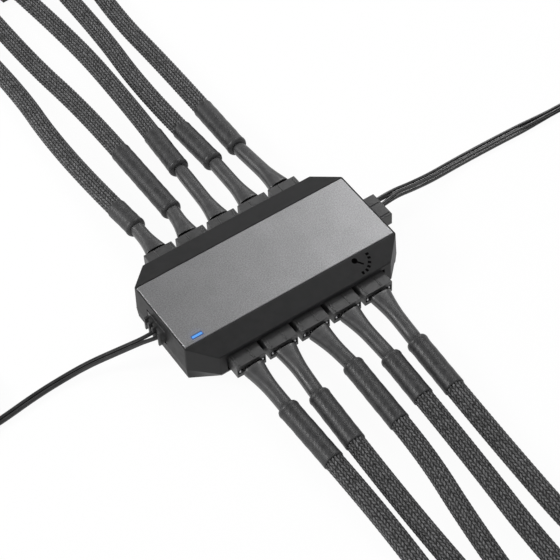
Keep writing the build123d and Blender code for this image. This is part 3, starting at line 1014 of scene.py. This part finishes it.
signalLead = {
    "route": [
        (-38.7, -0.34, 8.1), (-45.2, 0.2, 8.3), (-53.2, 2.9, 5.8), (-61.0, 5.7, 3.1), (-69.5, 6.8, 1.4),
        (-80.0, 6.1, 1.4), (-93.0, 4.2, 1.4),
    ],
    "coilCentre": (-106.5, 19.7),
    "coilFrom": 270,
    "end": [(-121.9, 25.8, 3.6), (-121.0, 32.3, 2.7)],
    "radius": 0.66,
    "atPlug": [(-1.27, 0.0), (1.27, 0.0)],
    "flat": [(-0.71, 0.0), (0.71, 0.0)],
    "gathered": [(-0.71, 0.0), (0.71, 0.0)],
    "gathersFrom": 45.0,
    "gathersTo": 55.0,
    "replaces": ("signal_lead", "signal_coil"),
    "withPieces": ("signal_plug", "board_connector"),
}


def coilPoints(centre, firstAngle):
    # Clockwise turns, two beside and two above; the changes of place, in degrees run, don't overlap
    step = 360 / coil["pointsATurn"]
    angle = -step / 2
    points = []
    while angle < coil["turnsTo"]:
        inward = easeBetween(angle, *coil["goesIn"]) - easeBetween(angle, *coil["goesOut"])
        upward = easeBetween(angle, *coil["goesUp"])
        radius = coil["outer"] + (coil["inner"] - coil["outer"]) * inward
        height = coil["low"] + (coil["high"] - coil["low"]) * upward
        turn = math.radians(firstAngle - angle)
        reach = radius / coil["cornerCut"]
        points.append((centre[0] + math.cos(turn) * reach, centre[1] + math.sin(turn) * reach, height))
        angle += step
    return points


def addWires(name, lead):
    points = lead["route"] + coilPoints(lead["coilCentre"], lead["coilFrom"]) + lead["end"]
    path = evenly(pathOf(f"{name}_route", points), thinLead["step"] * mm)
    steps = walk(path)
    verts, faces = [], []
    corners = thinLead["sides"]
    circle = circleOf(corners)
    for atPlug, flat, gathered in zip(lead["atPlug"], lead["flat"], lead["gathered"]):
        base = len(verts)
        for spot, heading, side, run in steps:
            joined = easeBetween(run / mm, 0, thinLead["joinsAfter"])
            bundled = easeBetween(run / mm, lead["gathersFrom"], lead["gathersTo"])
            offset = Vector(atPlug).lerp(Vector(flat), joined).lerp(Vector(gathered), bundled)
            upward = side.cross(heading)
            centre = spot + side * (offset.x * mm) + upward * (offset.y * mm)
            for across, up in circle:
                verts.append(centre + (side * across + upward * up) * (lead["radius"] * mm))
        faces += tubeFaces(base, len(steps), corners)
    piece = addMesh(name, verts, faces, finishes["wire_insulation"])
    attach(piece, "root")
    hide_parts(*lead["replaces"])
    print(name, round(steps[-1][3], 4), "m")


addWires("power_wires", powerLead)
addWires("signal_wires", signalLead)
print("end leads laid")


# The signal plug's ribbed tail, in millimetres, stands out of the left port: a web with four upright ribs
tail = {
    "web": ((-39.9, -38.6), (-2.7, 5.75), (5.7, 10.2)),
    "ribs": (-2.35, 0.9, 3.1, 5.4),
    "ribWidth": 0.75,
    "ribReach": (-41.0, -39.6),
    "ribHeight": (5.4, 10.6),
}


def addBlock(spans):
    low, high = zip(*spans)
    bpy.ops.mesh.primitive_cube_add(size=1)
    block = bpy.context.object
    block.location = [(a + b) / 2 * mm for a, b in zip(low, high)]
    block.scale = [(b - a) * mm for a, b in zip(low, high)]
    bpy.ops.object.transform_apply(location=True, rotation=False, scale=True)
    breakEdges(block)
    return block


def makeTail():
    half = tail["ribWidth"] / 2
    blocks = [addBlock(tail["web"])]
    blocks += [addBlock((tail["ribReach"], (y - half, y + half), tail["ribHeight"])) for y in tail["ribs"]]
    piece = joinPieces(blocks, "signal_plug_tail", finishes["plug_plastic"])
    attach(piece, "root")


makeTail()
print("plug tail made")


# Speed gauge, in millimetres, as thin black marks on the front slope: a hub, its needle and six marks.
# The slope starts at slopeFrom, given as the reach forward and the height, and slope is its fall per reach
gauge = {
    "hub": (21.87, -15.98),
    "hubRadius": 0.95,
    "hubCorners": 32,
    "needleTo": (23.75, -18.3),
    "needleWidth": 0.55,
    "marks": [
        (26.61, -15.91), (26.42, -17.22), (25.64, -18.57), (24.65, -19.68), (23.41, -20.37), (21.86, -20.55),
    ],
    "markSize": (1.05, 0.78),
    "thickness": 0.05,
    "slopeFrom": (14.46, 14.54),
    "slope": 1.78 / 7.44,
}


def onSlope(x, y):
    forward, height = gauge["slopeFrom"]
    return Vector((x, y, height - (-y - forward) * gauge["slope"]))


def layOnSlope(piece, x, y, turn):
    tilt = Quaternion((1, 0, 0), math.atan(gauge["slope"]))
    piece.rotation_mode = "QUATERNION"
    piece.rotation_quaternion = tilt @ Quaternion((0, 0, 1), turn)
    piece.location = onSlope(x, y) * mm


def makeGauge():
    thickness = gauge["thickness"] * mm
    corners = gauge["hubCorners"]
    bpy.ops.mesh.primitive_cylinder_add(vertices=corners, radius=gauge["hubRadius"] * mm, depth=thickness)
    parts = [bpy.context.object]
    layOnSlope(parts[0], *gauge["hub"], 0)
    hub = Vector(gauge["hub"])
    tip = Vector(gauge["needleTo"])
    bars = [((hub + tip) / 2, (tip - hub).length, gauge["needleWidth"], tip - hub)]
    bars += [(Vector(mark), *gauge["markSize"], Vector(mark) - hub) for mark in gauge["marks"]]
    for middle, length, width, heading in bars:
        bpy.ops.mesh.primitive_cube_add(size=1)
        bar = bpy.context.object
        bar.scale = (length * mm, width * mm, thickness)
        bpy.ops.object.transform_apply(location=False, rotation=False, scale=True)
        breakEdges(bar)
        layOnSlope(bar, middle.x, middle.y, math.atan2(heading.y, heading.x))
        parts.append(bar)
    for part in parts:
        settle(part)
    ink = moulded(
        "gaugeInk", (0.0010, 0.0010, 0.0010), (0.0020, 0.0020, 0.0020), 0.90, 0.12, 0.006, specular=0.0,
    )
    piece = joinPieces(parts, "speed_gauge", ink)
    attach(piece, "root")


makeGauge()
print("gauge marked")
